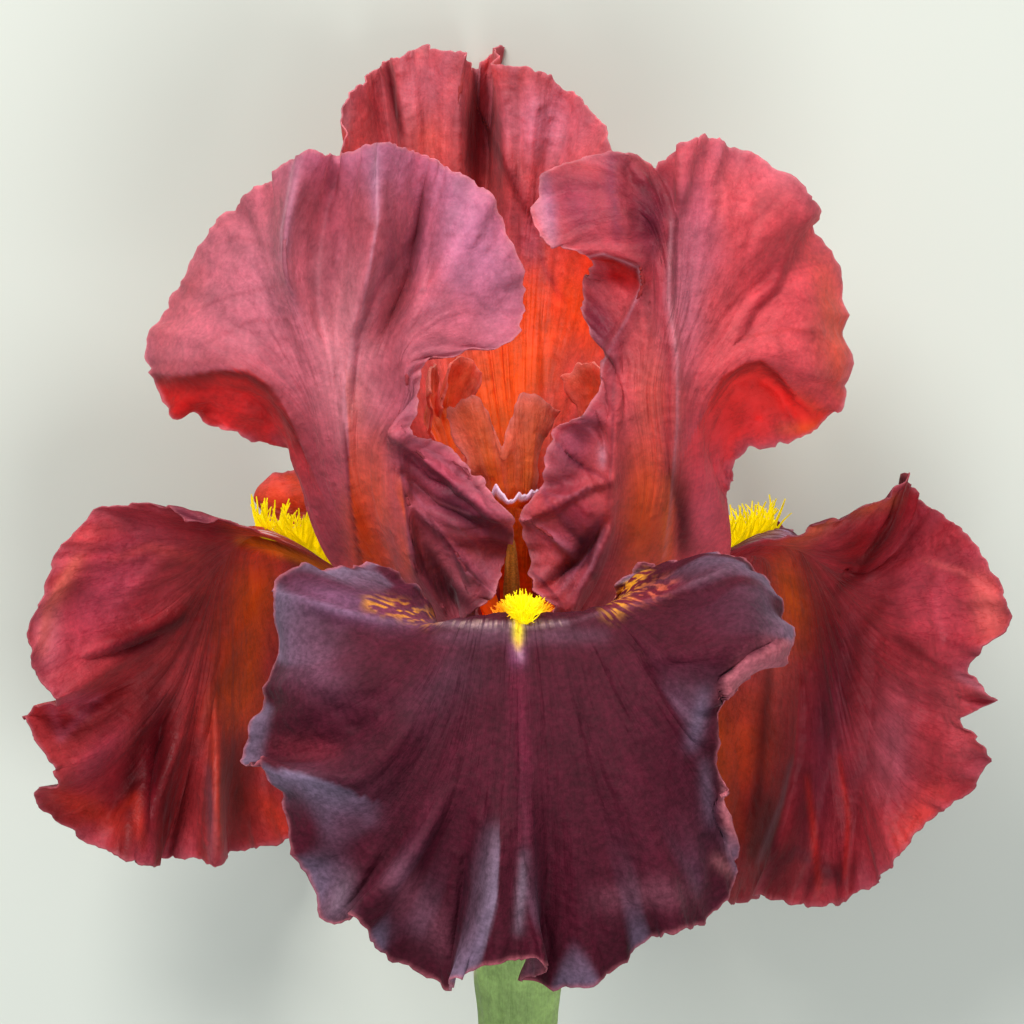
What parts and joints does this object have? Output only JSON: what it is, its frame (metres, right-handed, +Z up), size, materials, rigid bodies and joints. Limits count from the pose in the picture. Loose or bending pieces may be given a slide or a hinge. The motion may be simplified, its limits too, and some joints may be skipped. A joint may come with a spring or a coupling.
{
  "type": "bearded iris flower",
  "caption": "Cut bearded iris flower lying on its back: ruffled upright standards, hanging falls with bearded hafts, style arms, tube, ovary, spathes and a short stem.",
  "frame": {"origin": "middle of the bounding box in X and Y, on the plane that the flower rests on", "axes": "+Y along the flower's axis from the cut stem to the tips of the standards; +X to the flower's right-hand side as seen from above, with the front fall on top; +Z up from the table"},
  "size_m": [0.155, 0.1952, 0.1322],
  "materials": {
    "standard_petal": "matt petal, rose-mauve outside over orange red inside",
    "fall_petal": "matt petal, wine red margins over an orange-brown middle",
    "dark_fall_petal": "velvety dark maroon petal with blue-grey sheen on the folds",
    "beard": "bright yellow hairs, orange at the root",
    "style_arm": "orange-rust petal-like crest with a pale lip",
    "filament": "pale waxy stalk",
    "anther": "powdery orange-tan",
    "tube": "waxy green flushed with bronze",
    "ovary": "waxy green",
    "spathe": "papery green with a dry edge",
    "stem": "waxy light green"
  },
  "bodies": {
    "root": {"standard_left": "standard_petal", "standard_right": "standard_petal", "standard_back": "standard_petal", "fall_front": "dark_fall_petal", "fall_left": "fall_petal", "fall_right": "fall_petal", "beard_front": "beard", "beard_left": "beard", "beard_right": "beard", "style_arm_front": "style_arm", "style_arm_left": "style_arm", "style_arm_right": "style_arm", "filament_front": "filament", "filament_left": "filament", "filament_right": "filament", "anther_front": "anther", "anther_left": "anther", "anther_right": "anther", "perianth_tube": "tube", "ovary": "ovary", "spathe_outer": "spathe", "spathe_inner": "spathe", "stem": "stem"}
  },
  "joints": []
}
